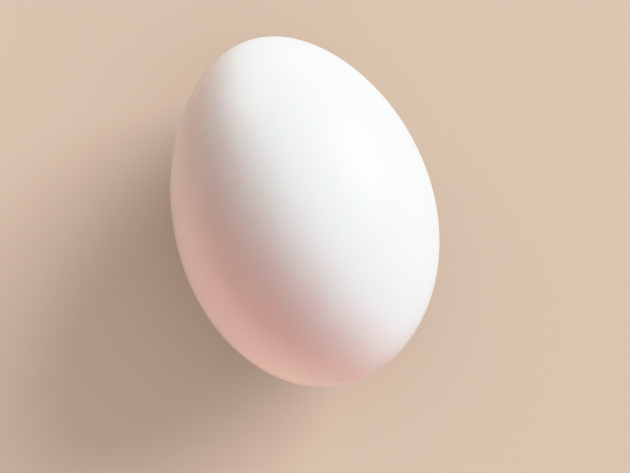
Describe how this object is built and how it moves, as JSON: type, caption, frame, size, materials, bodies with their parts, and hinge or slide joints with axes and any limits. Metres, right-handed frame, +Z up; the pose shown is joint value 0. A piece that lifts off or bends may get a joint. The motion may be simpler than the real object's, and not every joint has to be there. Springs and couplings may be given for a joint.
{
  "type": "peeled boiled egg",
  "caption": "Whole peeled hard-boiled hen's egg, smooth and glossy white, lying on its side on a small flat resting spot.",
  "frame": {"origin": "centre of the flat spot that the egg rests on, in the plane of the surface below it", "axes": "+Z up; +Y along the egg's length towards its pointed end; +X across it, towards its slightly fuller side"},
  "size_m": [0.0416, 0.0569, 0.0411],
  "materials": {
    "egg_white": "satin"
  },
  "bodies": {
    "root": {"egg": "egg_white"}
  },
  "joints": []
}
